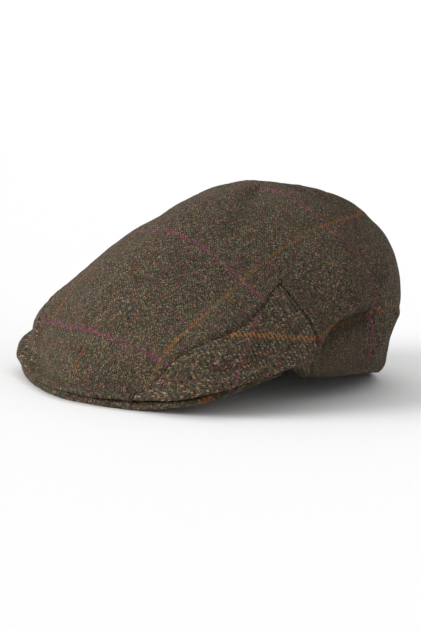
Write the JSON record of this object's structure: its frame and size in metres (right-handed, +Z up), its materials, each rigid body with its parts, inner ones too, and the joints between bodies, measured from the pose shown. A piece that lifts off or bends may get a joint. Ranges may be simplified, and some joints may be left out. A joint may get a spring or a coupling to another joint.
{
  "type": "flat cap",
  "caption": "A flat cap of checked wool tweed: domed crown pulled forward onto a short stiff peak, a shaped gusset on each side and a tucked-in back wall.",
  "frame": {"origin": "On the surface the cap rests on, under the middle of its bounding box.", "axes": "+Z up. The peak points to -Y. +X is the wearer's left side, the side the picture shows."},
  "size_m": [0.1932, 0.2628, 0.1254],
  "materials": {
    "crown_cloth": "matte brushed wool twill with a thin windowpane check",
    "gusset_left_cloth": "matte brushed wool twill with a thin windowpane check",
    "gusset_right_cloth": "matte brushed wool twill with a thin windowpane check",
    "peak_cloth": "matte brushed wool twill over a stiff board"
  },
  "bodies": {
    "root": {"crown": "crown_cloth", "gusset_left": "gusset_left_cloth", "gusset_right": "gusset_right_cloth", "peak": "peak_cloth"}
  },
  "joints": []
}
